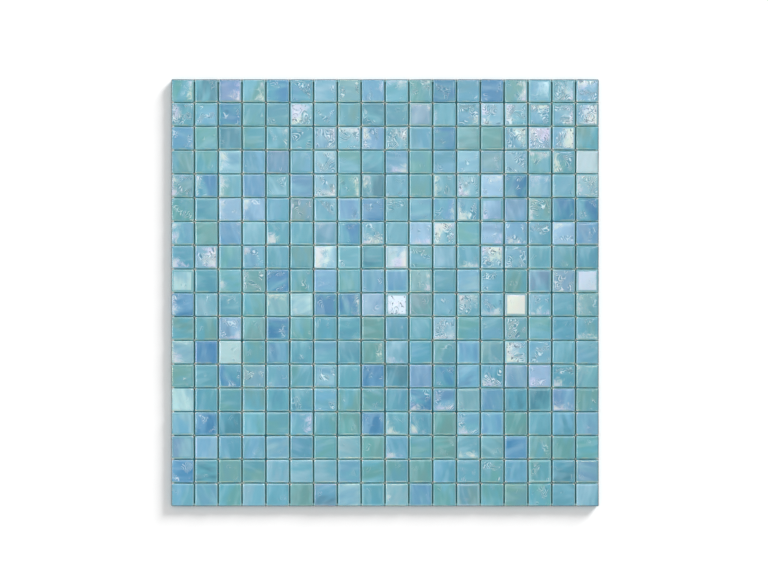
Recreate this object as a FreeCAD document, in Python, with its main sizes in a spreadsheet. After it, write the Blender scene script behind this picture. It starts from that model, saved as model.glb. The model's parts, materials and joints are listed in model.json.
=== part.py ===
import FreeCAD, Part
import os
import Sketcher

# A mosaic tile sheet: 324 small cast-glass tiles, 18 by 18, glued by their backs to a net.
# It lies face up. The origin is the middle of its back, on the surface that it lies on, and +Z
# points out of the tiles' faces. Row 01 is the one furthest towards +Y, and rows run along X.

PARTS_FOLDER = "parts"

# Driving dimensions: millimetres, counts, and degrees for the lean of a side.
SIZES = [
    ("column_count", 18, "tiles in a row"),
    ("row_count", 18, "rows in the sheet"),
    ("tile_length", 15.45, "a tile along its row, at its widest, just below its face"),
    ("tile_width", 15.72, "a tile across its row, at its widest"),
    ("tile_thickness", 4.0, "face to back of a tile"),
    ("column_joint", 1.0, "open joint between two tiles of a row, at its narrowest"),
    ("row_joint", 0.7, "open joint between two rows, at its narrowest"),
    ("side_draft", 3.0, "lean of a tile's sides, which lets it leave the mould"),
    ("corner_clip", 0.9, "length cut off a side at each upright corner"),
    ("face_arris", 0.5, "rolled edge round a tile's face"),
    ("net_thickness", 0.35, "net with the glue in it"),
    ("net_margin", 2.0, "how far the net stops short of the sheet's edge"),
]

# Dimensions that follow from them, as formulas of the sheet.
WORKED_OUT = [
    ("arris_flare", "=face_arris * tan(side_draft * 1 deg)", "how much wider a sharp face would be"),
    ("blank_length", "=tile_length + 2 * arris_flare", "a tile's face before its arris, along X"),
    ("blank_width", "=tile_width + 2 * arris_flare", "a tile's face before its arris, along Y"),
    ("column_pitch", "=tile_length + column_joint", "from one tile of a row to the next"),
    ("row_pitch", "=tile_width + row_joint", "from one row to the next"),
    ("first_tile_x", "=-(column_count - 1) * column_pitch / 2", "middle of a row's first tile"),
    ("first_row_y", "=(row_count - 1) * row_pitch / 2", "middle of row 01"),
    ("net_length", "=column_count * column_pitch - column_joint - 2 * net_margin", "net along X"),
    ("net_width", "=row_count * row_pitch - row_joint - 2 * net_margin", "net along Y"),
    ("face_height", "=net_thickness + tile_thickness", "faces above the floor"),
]


def fill_sheet(doc):
    """Put every dimension in the spreadsheet: its name, its value and what it measures."""
    sheet = doc.addObject("Spreadsheet::Sheet", "sizes")
    for line, (alias, value, meaning) in enumerate(SIZES + WORKED_OUT, start=1):
        sheet.set(f"A{line}", alias)
        sheet.set(f"B{line}", str(value))
        sheet.setAlias(f"B{line}", alias)
        sheet.set(f"C{line}", meaning)
    doc.recompute()
    return sheet


def origin_part(body, role):
    """One of the body's own planes or axes."""
    return next(item for item in body.Origin.OriginFeatures if item.Role == role)


def add_feature(body, kind, name):
    """A feature of the body, named after the body so that no two share a name."""
    return body.newObject(f"PartDesign::{kind}", f"{body.Name}_{name}")


def rectangle(body, sizes, length, width):
    """A sketch on the body's XY plane: a rectangle about the origin, sized by two cells."""
    sketch = body.newObject("Sketcher::SketchObject", f"{body.Name}_outline")
    sketch.AttachmentSupport = [(origin_part(body, "XY_Plane"), "")]
    sketch.MapMode = "FlatFace"
    right = sizes.get(length) / 2
    top = sizes.get(width) / 2
    corners = [
        FreeCAD.Vector(-right, -top, 0),
        FreeCAD.Vector(right, -top, 0),
        FreeCAD.Vector(right, top, 0),
        FreeCAD.Vector(-right, top, 0),
    ]
    for start, end in zip(corners, corners[1:] + corners[:1]):
        sketch.addGeometry(Part.LineSegment(start, end), False)
    for side in range(4):
        sketch.addConstraint(Sketcher.Constraint("Coincident", side, 2, (side + 1) % 4, 1))
    for side, direction in enumerate(("Horizontal", "Vertical", "Horizontal", "Vertical")):
        sketch.addConstraint(Sketcher.Constraint(direction, side))
    sketch.addConstraint(Sketcher.Constraint("Symmetric", 0, 1, 2, 1, -1, 1))
    across = sketch.addConstraint(Sketcher.Constraint("DistanceX", 0, 1, 0, 2, 2 * right))
    upward = sketch.addConstraint(Sketcher.Constraint("DistanceY", 1, 1, 1, 2, 2 * top))
    sketch.setExpression(f"Constraints[{across}]", f"sizes.{length}")
    sketch.setExpression(f"Constraints[{upward}]", f"sizes.{width}")
    return sketch


def standing(shape, prefix, items):
    """Names of the edges or faces that climb from a tile's back to its face: the rest lie flat."""
    numbered = enumerate(items, start=1)
    tall = shape.BoundBox.ZLength / 2
    return [f"{prefix}{number}" for number, item in numbered if item.BoundBox.ZLength > tall]


def topmost_face(shape):
    """Name of the face that lies highest."""
    heights = [face.CenterOfMass.z for face in shape.Faces]
    return f"Face{heights.index(max(heights)) + 1}"


def tile_row(doc, sizes, row):
    """One row of cast tiles: the first is modelled, and the others repeat it along the row.

    The body's XY plane is the tiles' faces, so the tile grows down from it and narrows
    towards its back, as it must to leave its mould.
    """
    body = doc.addObject("PartDesign::Body", f"tile_row_{row + 1:02d}")

    slab = add_feature(body, "Pad", "slab")
    slab.Profile = (rectangle(body, sizes, "blank_length", "blank_width"), [""])
    slab.Reversed = True
    slab.setExpression("Length", "sizes.tile_thickness")
    doc.recompute()

    leaned = add_feature(body, "Draft", "leaned")
    leaned.Base = (slab, standing(slab.Shape, "Face", slab.Shape.Faces))
    leaned.NeutralPlane = (origin_part(body, "XY_Plane"), [""])
    leaned.Reversed = True
    leaned.setExpression("Angle", "sizes.side_draft * 1 deg")
    doc.recompute()

    clipped = add_feature(body, "Chamfer", "clipped")
    clipped.Base = (leaned, standing(leaned.Shape, "Edge", leaned.Shape.Edges))
    clipped.setExpression("Size", "sizes.corner_clip")
    doc.recompute()

    arrised = add_feature(body, "Chamfer", "arrised")
    arrised.Base = (clipped, [topmost_face(clipped.Shape)])
    arrised.setExpression("Size", "sizes.face_arris")
    doc.recompute()

    laid = add_feature(body, "LinearPattern", "laid")
    laid.TransformMode = "Whole shape"
    laid.Direction = (origin_part(body, "X_Axis"), [""])
    laid.Mode = "Spacing"
    laid.setExpression("Offset", "sizes.column_pitch")
    laid.setExpression("Occurrences", "sizes.column_count")
    body.Tip = laid

    body.setExpression("Placement.Base.x", "sizes.first_tile_x")
    body.setExpression("Placement.Base.y", f"sizes.first_row_y - {row} * sizes.row_pitch")
    body.setExpression("Placement.Base.z", "sizes.face_height")
    return body


def backing_net(doc, sizes):
    """The net that carries the tiles, as a plain thin sheet: its yarns are too fine to model."""
    body = doc.addObject("PartDesign::Body", "backing_net")
    sheet = add_feature(body, "Pad", "sheet")
    sheet.Profile = (rectangle(body, sizes, "net_length", "net_width"), [""])
    sheet.setExpression("Length", "sizes.net_thickness")
    body.Tip = sheet
    return body


def stop_if_broken(doc, bodies):
    """Stop before anything is written if an object failed or a solid isn't sound."""
    for thing in doc.Objects:
        if "Invalid" in thing.State or "Error" in thing.State:
            raise RuntimeError(f"{thing.Label} failed: {thing.State}")
    for body in bodies:
        if body.Shape.isNull() or not body.Shape.isValid():
            raise RuntimeError(f"{body.Label} has no sound shape")


def main():
    doc = FreeCAD.newDocument("mosaic_tile_sheet")
    sizes = fill_sheet(doc)
    bodies = [tile_row(doc, sizes, row) for row in range(int(sizes.row_count))]
    bodies.append(backing_net(doc, sizes))
    doc.recompute()
    stop_if_broken(doc, bodies)
    os.makedirs(PARTS_FOLDER, exist_ok=True)
    for body in bodies:
        body.Shape.exportStep(os.path.join(PARTS_FOLDER, f"{body.Label}.step"))
        box = body.Shape.BoundBox
        print(
            f"{body.Label}: {len(body.Shape.Solids)} solids, {body.Shape.Volume:.1f} mm3,"
            f" x {box.XMin:.3f} to {box.XMax:.3f}, y {box.YMin:.3f} to {box.YMax:.3f},"
            f" z {box.ZMin:.3f} to {box.ZMax:.3f}"
        )


main()
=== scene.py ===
# %% [markdown]
# This lesson dresses a mosaic tile sheet: small cast-glass tiles with a pearly lustre, laid in
# rows on an open net of glass-fibre yarn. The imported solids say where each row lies, and this
# script makes what the eye sees: the rippled faces, the streaks in the glass, the lustre that
# was sprayed on it, the yarns on its back, and a plain studio to look at it in.

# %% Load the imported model
import json
import math
import random

import bpy
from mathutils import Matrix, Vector

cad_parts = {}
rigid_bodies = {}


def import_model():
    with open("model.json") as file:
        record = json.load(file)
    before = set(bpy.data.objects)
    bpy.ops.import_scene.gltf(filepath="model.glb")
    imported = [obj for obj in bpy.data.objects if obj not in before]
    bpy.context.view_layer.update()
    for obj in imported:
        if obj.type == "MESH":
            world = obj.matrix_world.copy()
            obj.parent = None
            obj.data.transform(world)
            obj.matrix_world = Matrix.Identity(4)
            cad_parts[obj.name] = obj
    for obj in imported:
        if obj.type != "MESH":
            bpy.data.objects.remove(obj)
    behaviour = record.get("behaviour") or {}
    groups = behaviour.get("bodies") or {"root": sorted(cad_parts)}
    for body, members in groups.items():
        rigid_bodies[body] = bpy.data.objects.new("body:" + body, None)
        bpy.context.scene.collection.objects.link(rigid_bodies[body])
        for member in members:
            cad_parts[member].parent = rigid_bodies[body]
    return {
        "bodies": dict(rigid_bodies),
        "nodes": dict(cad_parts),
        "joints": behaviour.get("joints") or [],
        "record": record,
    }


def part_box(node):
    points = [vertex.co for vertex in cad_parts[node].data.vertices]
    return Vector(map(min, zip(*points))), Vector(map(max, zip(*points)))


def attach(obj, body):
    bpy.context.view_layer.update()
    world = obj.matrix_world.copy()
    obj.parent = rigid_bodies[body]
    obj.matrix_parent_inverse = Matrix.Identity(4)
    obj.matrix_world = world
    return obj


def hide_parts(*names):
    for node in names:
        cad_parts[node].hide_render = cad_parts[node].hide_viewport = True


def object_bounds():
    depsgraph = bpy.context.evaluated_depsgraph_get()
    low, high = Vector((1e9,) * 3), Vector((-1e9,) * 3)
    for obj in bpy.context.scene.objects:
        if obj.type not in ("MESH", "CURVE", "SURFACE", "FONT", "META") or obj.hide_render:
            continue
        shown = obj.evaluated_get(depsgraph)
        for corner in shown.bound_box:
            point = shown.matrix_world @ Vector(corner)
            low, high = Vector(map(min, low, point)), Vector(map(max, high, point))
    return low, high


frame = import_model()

MM = 0.001
cad_low, cad_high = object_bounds()
print("CAD box in mm:", [round(side / MM, 2) for side in cad_high - cad_low])

# %% [markdown]
# Every size that the sheet shares with its solids is read from them, so that a changed sheet
# would still be dressed. A row's box gives a tile's width and thickness at once. Its length
# comes from the row's, once the open joints between its tiles are taken off.

# %% Measure the rows
COLUMNS = 18
COLUMN_JOINT = 1.0 * MM

row_nodes = sorted(name for name in frame["nodes"] if name.startswith("tile_row_"))
row_low, row_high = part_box(row_nodes[0])
tile_length = (row_high.x - row_low.x - (COLUMNS - 1) * COLUMN_JOINT) / COLUMNS
tile_width = row_high.y - row_low.y
tile_thickness = row_high.z - row_low.z
column_pitch = tile_length + COLUMN_JOINT
row_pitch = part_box(row_nodes[0])[0].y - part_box(row_nodes[1])[0].y
print("Rows:", len(row_nodes), "tile in mm:", round(tile_length / MM, 2), round(tile_width / MM, 2))

# %% [markdown]
# A colour as it is listed here is a screen colour, while a shader counts light, where half the
# number is half the light. One function turns the first into the second, so every colour below
# can be read and changed as in any paint program.


# %% Turn screen colours into light
def srgb(red, green, blue):
    """A colour as the eye reads it, 0 to 255, turned into the linear one that shaders use."""
    shares = (channel / 255 for channel in (red, green, blue))
    linear = (c / 12.92 if c <= 0.04045 else ((c + 0.055) / 1.055) ** 2.4 for c in shares)
    return (*linear, 1.0)


# %% [markdown]
# Glass for mosaic is poured in batches, and one tile often holds two that lie close in colour.
# So a batch is a colour and its share of the tiles, and its neighbours are those that may streak
# it. One with a share of 0 goes to named tiles alone. Pictures of real tiles would do too, but
# whoever wants another sheet can change a few numbers more easily.

# %% The glass batches
BATCHES = {
    "sage": (srgb(96, 152, 152), 9),
    "sea green": (srgb(90, 158, 160), 16),
    "lagoon": (srgb(85, 157, 173), 24),
    "turquoise": (srgb(76, 150, 172), 14),
    "aqua": (srgb(98, 164, 182), 20),
    "sky": (srgb(99, 161, 187), 12),
    "ice": (srgb(128, 178, 194), 8),
    "cornflower": (srgb(86, 146, 181), 5),
    "periwinkle": (srgb(109, 155, 185), 3),
    "blue": (srgb(46, 124, 167), 1),
    "deep teal": (srgb(56, 128, 148), 3),
    "mint": (srgb(168, 204, 206), 1),
    "lilac": (srgb(138, 180, 207), 0),
}
NEIGHBOURS = {
    "sage": ("sea green", "lagoon"),
    "sea green": ("lagoon", "aqua"),
    "lagoon": ("sea green", "aqua", "turquoise"),
    "turquoise": ("lagoon", "sky"),
    "aqua": ("ice", "lagoon", "sky"),
    "sky": ("cornflower", "aqua", "ice"),
    "ice": ("aqua", "sky"),
    "cornflower": ("periwinkle", "turquoise", "sky"),
    "periwinkle": ("cornflower", "ice"),
    "blue": ("cornflower", "turquoise"),
    "deep teal": ("turquoise", "lagoon"),
    "mint": ("mint", "ice"),
    "lilac": ("lilac", "periwinkle"),
}


def pour(draw, batch, spread):
    """One pour of a batch: a little lighter or darker than the next."""
    tone = 1 + draw.uniform(-spread, spread)
    return (*(channel * tone for channel in BATCHES[batch][0][:3]), 1.0)


print("Batches:", len(BATCHES))

# %% [markdown]
# Some tiles stand out in the sheet, such as a white one, a cream one and the deep blue ones.
# They are named by their look, and placed by column and row, counted from the top left. The lean
# of a look says how far its tiles turn away from the brightest lamp, whose glare would hide
# their colour. Tiles with a patch of lustre at one side are listed by the angle of that side, in
# degrees.

# %% The tiles that stand out
LOOKS = {
    # The white look's pearl over 1 gives its tile the thickest lustre, painted near white as glare.
    "white": {"batch": "mint", "pearl": 1.2, "wrinkle": 0.5, "warmth": 0.1, "lean": 0.0},
    "pearl": {"batch": "mint", "pearl": 1.0, "wrinkle": 0.0, "warmth": 0.0, "lean": 0.0},
    "cream": {"batch": "mint", "pearl": 1.0, "wrinkle": 0.1, "warmth": 1.0, "lean": 0.0},
    "milk": {"batch": "mint", "pearl": 0.6, "wrinkle": 0.1, "warmth": 0.9, "lean": 0.3},
    "foam": {"batch": "ice", "pearl": 0.62, "wrinkle": 0.7, "warmth": 0.8, "lean": 0.5},
    "mint": {"batch": "mint", "pearl": 0.15, "wrinkle": 0.1, "warmth": 0.8, "lean": 0.8},
    "lilac": {"batch": "lilac", "pearl": 0.36, "wrinkle": 0.3, "warmth": 0.0, "lean": 0.5},
    "crackle": {"batch": "ice", "pearl": 0.44, "wrinkle": 0.75, "warmth": 0.5, "lean": 0.5},
    "blue": {"batch": "blue", "pearl": 0.0, "wrinkle": 0.3, "warmth": 0.3, "lean": 0.0},
    "sage": {"batch": "sage", "pearl": 0.0, "wrinkle": 0.1, "warmth": 0.3, "lean": 1.0},
    "deep": {"batch": "deep teal", "pearl": 0.0, "wrinkle": 0.2, "warmth": 0.3, "lean": 0.0},
}
STANDOUTS = {
    "white": ((9, 9),),
    "pearl": ((17, 8),),
    "cream": ((14, 9),),
    "milk": ((9, 7), (6, 7)),
    "foam": ((14, 11), (5, 1), (16, 2), (15, 2), (1, 7), (11, 6), (13, 7), (17, 1)),
    "mint": ((17, 3), (5, 9), (0, 8), (2, 11), (0, 13)),
    "lilac": ((10, 6), (16, 6), (13, 4), (13, 6), (3, 5), (2, 5), (15, 12), (2, 10), (13, 5)),
    "crackle": (
        (14, 1), (15, 1), (13, 1), (16, 1), (17, 0), (9, 2), (12, 9), (7, 2),
        (6, 2), (17, 4), (12, 4), (16, 0), (14, 2), (6, 4),
    ),
    "blue": (
        (2, 1), (11, 0), (13, 0), (11, 2), (8, 5), (1, 4), (7, 6), (1, 14), (4, 8), (0, 9),
        (6, 9), (7, 9), (2, 12), (8, 12), (8, 14), (10, 13), (11, 12), (4, 10), (17, 5), (0, 16),
    ),
    "sage": (
        (17, 2), (13, 2), (1, 10), (8, 10), (7, 13), (7, 14), (8, 11), (5, 17), (3, 11), (11, 15),
    ),
    "deep": ((1, 0), (8, 1), (8, 4), (4, 3), (1, 16), (16, 16), (15, 13), (6, 17)),
}
PATCH_SIDES = {
    0: (
        (2, 0), (3, 0), (7, 9), (8, 11), (5, 14), (14, 0), (13, 6), (7, 4), (0, 0), (6, 2), (14, 9),
    ),
    90: ((9, 0), (15, 2), (7, 2)),
    180: (
        (0, 1), (2, 4), (0, 4), (0, 6), (2, 3), (8, 4),
        (11, 4), (15, 5), (0, 9), (17, 9), (5, 1), (1, 4),
    ),
    225: ((0, 7), (0, 11), (9, 14), (10, 14), (12, 14), (9, 15), (10, 13), (16, 12), (4, 6)),
    270: (
        (9, 3), (12, 7), (13, 12), (11, 13), (16, 13), (15, 9),
        (13, 9), (11, 10), (17, 10), (14, 6), (10, 6), (12, 15),
    ),
}
look_at = {spot: look for look, spots in STANDOUTS.items() for spot in spots}
side_at = {spot: side for side, spots in PATCH_SIDES.items() for spot in spots}
print("Tiles with a look:", len(look_at), "with a patch at one side:", len(side_at))

# %% [markdown]
# Each tile is cast by itself, so no two are alike. What sets a tile apart is its recipe: the
# glass that it was poured from, the second glass that streaks it, how far the lustre covers
# it, how its face leans and how rippled it froze. All of them could be written down one by one,
# but a list of 324 recipes teaches nothing, so they are drawn at random. Each tile has its own
# seed, so it stays as it is when its neighbour is changed. Swells and ripples are in mm, sides
# in degrees, turns and twists in radians, and slopes in mm up for each mm along. A spread says
# how far most tiles lie from the middle value.

# %% Draw a recipe for each tile
FIRST_SEED = 18
FILM_SHARES = (64, 18, 9, 9)
RICH_TOP_LEFT = 0.5
RICHER_TO_RIGHT = 0.4
POORER_TO_BOTTOM = 0.7
PATCH_PEARL = 0.37
PATCH_SIDE_SPREAD = 12
FULL_PEARL = 1.0
FULL_PEARL_FRAME = -0.7
COMMON_LEAN = 0.3
LEAN_AWAY = (0.03, 0.05)
SLOPE_SPREAD = 0.012
TWIST_SPREAD = 0.006
FLOW_TURNS = (0, 0, 1.5)
FLOW_SPREAD = 0.2
SWELLS = (0.02, 0.1)
RIPPLES = (0.0, 0.03)
MAIN_TONE_SPREAD = 0.08
STREAK_TONE_SPREAD = 0.1


def recipe(column, row):
    """What one tile is made of and how it froze. The lustre is richest towards the upper right."""
    draw = random.Random(FIRST_SEED + column + row * COLUMNS)
    batch = draw.choices(list(BATCHES), [share for _, share in BATCHES.values()])[0]
    rich = RICH_TOP_LEFT + RICHER_TO_RIGHT * column / (COLUMNS - 1)
    rich -= POORER_TO_BOTTOM * row / (len(row_nodes) - 1)
    wrinkle = max(0.0, draw.gauss(0.45 * rich - 0.08, 0.25))
    pearl = max(0.0, draw.gauss(0.4 * rich - 0.15, 0.15))
    warmth = draw.random()
    side = draw.uniform(0, 360)
    lean = COMMON_LEAN
    frame = draw.gauss(-0.05, 0.3)
    film = draw.choices(range(len(FILM_SHARES)), FILM_SHARES)[0]
    if (column, row) in side_at:
        side = side_at[column, row] + draw.gauss(0, PATCH_SIDE_SPREAD)
        pearl = PATCH_PEARL
    if (column, row) in look_at:
        look = LOOKS[look_at[column, row]]
        batch, wrinkle, warmth, lean = look["batch"], look["wrinkle"], look["warmth"], look["lean"]
        pearl = max(look["pearl"], 0.9 * pearl if (column, row) in side_at else 0.0)
        frame = FULL_PEARL_FRAME if pearl >= FULL_PEARL else frame
        film = 0 if batch in ("blue", "sage") else film
    slope = [draw.gauss(0, SLOPE_SPREAD) + lean * share for share in LEAN_AWAY]
    return {
        "glass_main": pour(draw, batch, MAIN_TONE_SPREAD),
        "glass_streak": pour(draw, draw.choice(NEIGHBOURS[batch]), STREAK_TONE_SPREAD),
        "seed": draw.uniform(0, 100),
        "turn": draw.choice(FLOW_TURNS) + draw.gauss(0, FLOW_SPREAD),
        "slope": (*slope, draw.gauss(0, TWIST_SPREAD)),
        "relief": (draw.uniform(*SWELLS), draw.uniform(*RIPPLES), wrinkle),
        "lustre": (pearl, warmth, math.radians(side)),
        "frame": frame,
        "film": film,
    }


recipes = [[recipe(column, row) for column in range(COLUMNS)] for row in range(len(row_nodes))]
print("Recipes:", sum(len(line) for line in recipes))

# %% [markdown]
# The blank is the shape that every tile starts from. Its face is a fine grid, so that ripples
# can move it, and round the grid run loops of points that roll over the edge, go down the
# leaning side and close on the back. A cube with a Bevel modifier has round edges too, but not
# the even grid. So one function walks round a rectangle with round corners, and every loop will
# be that walk at another inset and height.

# %% Walk round a rectangle
CELLS = 22


def walk(half_length, half_width, corner):
    """Points round a rectangle with round corners: the same number along each of its sides."""
    points = []
    for side in range(4):
        turn = side * math.pi / 2
        along = Vector((math.cos(turn), math.sin(turn)))
        out = Vector((math.sin(turn), -math.cos(turn)))
        half, reach = (half_length, half_width) if side % 2 == 0 else (half_width, half_length)
        straight = 2 * (half - corner)
        arc = corner * math.pi / 4
        for step in range(CELLS):
            gone = step / CELLS * (straight + 2 * arc)
            angle = 0.0
            x = corner - half + gone - arc
            if gone < arc:
                angle = math.pi / 4 - gone / corner
                x = corner - half - corner * math.sin(angle)
            elif gone > arc + straight:
                angle = (gone - arc - straight) / corner
                x = half - corner + corner * math.sin(angle)
            y = reach - corner + corner * math.cos(angle)
            points.append(along * x + out * y)
    return points


# %% [markdown]
# The loops are listed by their inset, in mm. The rim's also say how far they lie below the face,
# and the back's how far they lie above the back, so the side between them takes up whatever
# thickness the solids have. Every point keeps its place on the blank as an attribute, because
# the ripples and the shader go by that and not by where the tile ends up.

# %% Model the blank tile
CORNER = 0.6 * MM
EDGE = 1.3 * MM
RIM = ((1.3, 0.0), (0.9, 0.04), (0.5, 0.15), (0.2, 0.3), (0.05, 0.55), (0.0, 0.9))
BACK = ((0.2, 0.3), (0.45, 0.0))


def face_grid(grid_length, grid_width):
    """The plain face inside its rim: its points, its faces, and the loop of points round it."""
    points, faces = [], []
    index = {}
    for j in range(CELLS + 1):
        for i in range(CELLS + 1):
            index[i, j] = len(points)
            x = grid_length * (2 * i / CELLS - 1)
            y = grid_width * (2 * j / CELLS - 1)
            points.append((x, y, tile_thickness))
    for j in range(CELLS):
        for i in range(CELLS):
            faces.append((index[i, j], index[i + 1, j], index[i + 1, j + 1], index[i, j + 1]))
    loop = [index[i, 0] for i in range(CELLS)]
    loop += [index[CELLS, j] for j in range(CELLS)]
    loop += [index[CELLS - i, CELLS] for i in range(CELLS)]
    loop += [index[0, CELLS - j] for j in range(CELLS)]
    return points, faces, loop


def blank_tile():
    """A tile with a plain face, its middle on the origin and its back at height 0."""
    half_length, half_width = tile_length / 2, tile_width / 2
    rim_width = EDGE + CORNER
    points, faces, loop = face_grid(half_length - rim_width, half_width - rim_width)
    loops = [(inset * MM, tile_thickness - drop * MM) for inset, drop in RIM]
    loops += [(inset * MM, height * MM) for inset, height in BACK]
    for inset, height in loops:
        ring = walk(half_length - inset, half_width - inset, CORNER)
        start = len(points)
        points += [(x, y, height) for x, y in ring]
        following = [start + step for step in range(len(ring))]
        for step in range(len(ring)):
            after = (step + 1) % len(ring)
            faces.append((loop[after], loop[step], following[step], following[after]))
        loop = following
    faces.append(tuple(reversed(loop)))

    mesh = bpy.data.meshes.new("blank_tile")
    mesh.from_pydata(points, [], faces)
    mesh.polygons.foreach_set("use_smooth", [True] * (len(faces) - 1) + [False])
    place = mesh.attributes.new("place", "FLOAT_VECTOR", "POINT")
    for spot, (x, y, z) in zip(place.data, points):
        spot.vector = (x / MM, y / MM, z / tile_thickness)
    inset = mesh.attributes.new("inset", "FLOAT", "POINT")
    for spot, (x, y, z) in zip(inset.data, points):
        spot.value = min(half_length - abs(x), half_width - abs(y)) / MM
    return bpy.data.objects.new("blank_tile", mesh)


blank = blank_tile()
print("Blank tile:", len(blank.data.vertices), "points")

# %% [markdown]
# A row starts as one point for each of its tiles, and each point carries its tile's recipe as
# attributes. The recipe then goes wherever the point's tile goes, so one node tree can cast all
# the rows, and the shader can read the same recipe later.


# %% Lay out the points of a row
def row_points(number, line):
    """One point for each tile of a row, at the middle of its back, with its recipe on it."""
    low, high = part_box(row_nodes[number])
    first_x, middle_y = low.x + tile_length / 2, (low.y + high.y) / 2
    spots = [(first_x + column * column_pitch, middle_y, low.z) for column in range(COLUMNS)]
    mesh = bpy.data.meshes.new("row_points")
    mesh.from_pydata(spots, [], [])
    kinds = {
        "glass_main": ("FLOAT_COLOR", "color"),
        "glass_streak": ("FLOAT_COLOR", "color"),
        "slope": ("FLOAT_VECTOR", "vector"),
        "relief": ("FLOAT_VECTOR", "vector"),
        "seed": ("FLOAT", "value"),
        "turn": ("FLOAT", "value"),
        "lustre": ("FLOAT_VECTOR", "vector"),
        "frame": ("FLOAT", "value"),
        "film": ("INT", "value"),
    }
    for name, (kind, field) in kinds.items():
        attribute = mesh.attributes.new(name, kind, "POINT")
        for spot, made in zip(attribute.data, line):
            setattr(spot, field, made[name])
    return mesh


# %% [markdown]
# Nodes do most of the work from here on. Each could be made and linked by hand, but then one
# short sum fills ten lines, and what it says is lost. So a node tree is written as sums. A Wire
# is one output of a node, and adding, taking away, multiplying or dividing wires makes Math nodes.


# %% Do sums with wires
class Wire:
    """One output socket, with the arithmetic that makes Math nodes."""

    def __init__(self, tree, socket):
        self.tree = tree
        self.socket = socket

    def then(self, operation, *others):
        """A Math node that takes this value first, such as a sine or a maximum."""
        return self.tree.maths(operation, self, *others)

    def __add__(self, other):
        return self.then("ADD", other)

    def __sub__(self, other):
        return self.then("SUBTRACT", other)

    def __mul__(self, other):
        return self.then("MULTIPLY", other)

    def __truediv__(self, other):
        return self.then("DIVIDE", other)

    def __radd__(self, other):
        return self.tree.maths("ADD", other, self)

    def __rsub__(self, other):
        return self.tree.maths("SUBTRACT", other, self)

    def __rmul__(self, other):
        return self.tree.maths("MULTIPLY", other, self)

    def output(self, name):
        """Another output of the same node."""
        return Wire(self.tree, self.socket.node.outputs[name])


# %% [markdown]
# A Tree makes all the other nodes. Its method node() sets a node's options first and then plugs
# numbers or wires into its sockets. The shorter methods are for the nodes that are needed most:
# a ramp, a noise, a vector and a mix of two colours.


# %% Write a node tree
class Tree:
    """A node tree that is being written, for a material or for Geometry Nodes."""

    def __init__(self, nodes_tree):
        self.nodes_tree = nodes_tree

    def node(self, kind, settings=None, sockets=None):
        """Make a node of this type: its settings first, then its sockets, by name or number."""
        made = self.nodes_tree.nodes.new(kind)
        for name, value in (settings or {}).items():
            setattr(made, name, value)
        for name, value in (sockets or {}).items():
            self.plug(value, made.inputs[name])
        return Wire(self, made.outputs[0]) if made.outputs else made

    def plug(self, value, socket):
        """Link a wire to a socket, or write a plain value on it."""
        if isinstance(value, Wire):
            self.nodes_tree.links.new(value.socket, socket)
        else:
            socket.default_value = value

    def maths(self, operation, *values):
        return self.node("ShaderNodeMath", {"operation": operation}, dict(enumerate(values)))

    def ramp(self, value, low, high):
        """0 where the value is under low, 1 where it is over high, and a soft climb between."""
        limits = {"Value": value, "From Min": low, "From Max": high}
        return self.node("ShaderNodeMapRange", {"interpolation_type": "SMOOTHSTEP"}, limits)

    def noise(self, place, scale, detail=2.0, distortion=0.0):
        """Soft random blotches, from about 0.3 to 0.7."""
        sockets = {"Vector": place, "Scale": scale, "Detail": detail, "Distortion": distortion}
        return self.node("ShaderNodeTexNoise", {}, sockets)

    def vector(self, x, y, z):
        return self.node("ShaderNodeCombineXYZ", {}, {"X": x, "Y": y, "Z": z})

    def axes(self, vector):
        """The three numbers in a vector."""
        parts = self.node("ShaderNodeSeparateXYZ", {}, {0: vector})
        return parts, parts.output("Y"), parts.output("Z")

    def mix(self, share, first, second):
        """A colour that goes from the first to the second as the share goes from 0 to 1."""
        settings = {"data_type": "RGBA", "blend_type": "MIX", "clamp_factor": True}
        mixed = self.node("ShaderNodeMix", settings, {0: share, 6: first, 7: second})
        return Wire(self, mixed.socket.node.outputs[2])


# %% [markdown]
# One Geometry Nodes tree can cast all the rows. A tree starts with its inputs and its output,
# which have names, and inside it a point's recipe is read back by name too.


# %% Start a Geometry Nodes tree
def new_group(name, things, numbers):
    """A Geometry Nodes tree with these named inputs and one output, and its input node."""
    group = bpy.data.node_groups.new(name, "GeometryNodeTree")
    for label, kind in things.items():
        group.interface.new_socket(name=label, in_out="INPUT", socket_type=kind)
    for label, default in numbers.items():
        socket = group.interface.new_socket(name=label, in_out="INPUT", socket_type="NodeSocketFloat")
        socket.default_value = default
    group.interface.new_socket(name="Made", in_out="OUTPUT", socket_type="NodeSocketGeometry")
    tree = Tree(group)
    return group, tree, tree.node("NodeGroupInput")


def point_value(tree, name, kind="FLOAT"):
    """What a point says under this name: of its tile's recipe, or of its place on the blank."""
    return tree.node("GeometryNodeInputNamedAttribute", {"data_type": kind}, {"Name": name})


# %% [markdown]
# Cast glass is never quite flat when it has frozen. Its face has a low dome, a slow swell and
# short ripples. Sculpting would do for one tile, but for 324 of them a sum is quicker: the dome,
# and two sizes of noise that each tile reads at a place of its own. Near the rim the sum fades to
# nothing, so the edges stay straight.

# %% Ripple the faces
CALM_RIM = (0.3, 2.2)


def face_relief(tree, given, x, y):
    """How far the dome, the slow swell and the short ripples lift a point of a face, in mm."""
    swell, ripple, _ = tree.axes(point_value(tree, "relief", "FLOAT_VECTOR"))
    seed = point_value(tree, "seed")
    swell_length = given.output("Swell Length")
    ripple_length = given.output("Ripple Length")
    broad = tree.noise(tree.vector(x / swell_length, y / swell_length, seed), 1.0, 1.0)
    short = tree.noise(tree.vector(x / ripple_length, y / ripple_length, seed * 1.7), 1.0, 1.0)
    half_length, half_width = tile_length / 2 / MM, tile_width / 2 / MM
    dome = (1 - x * x / half_length**2) * (1 - y * y / half_width**2) * given.output("Crown")
    inner = tree.ramp(point_value(tree, "inset"), *CALM_RIM)
    return inner * (dome + (broad - 0.5) * swell * 2 + (short - 0.5) * ripple * 2)


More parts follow.
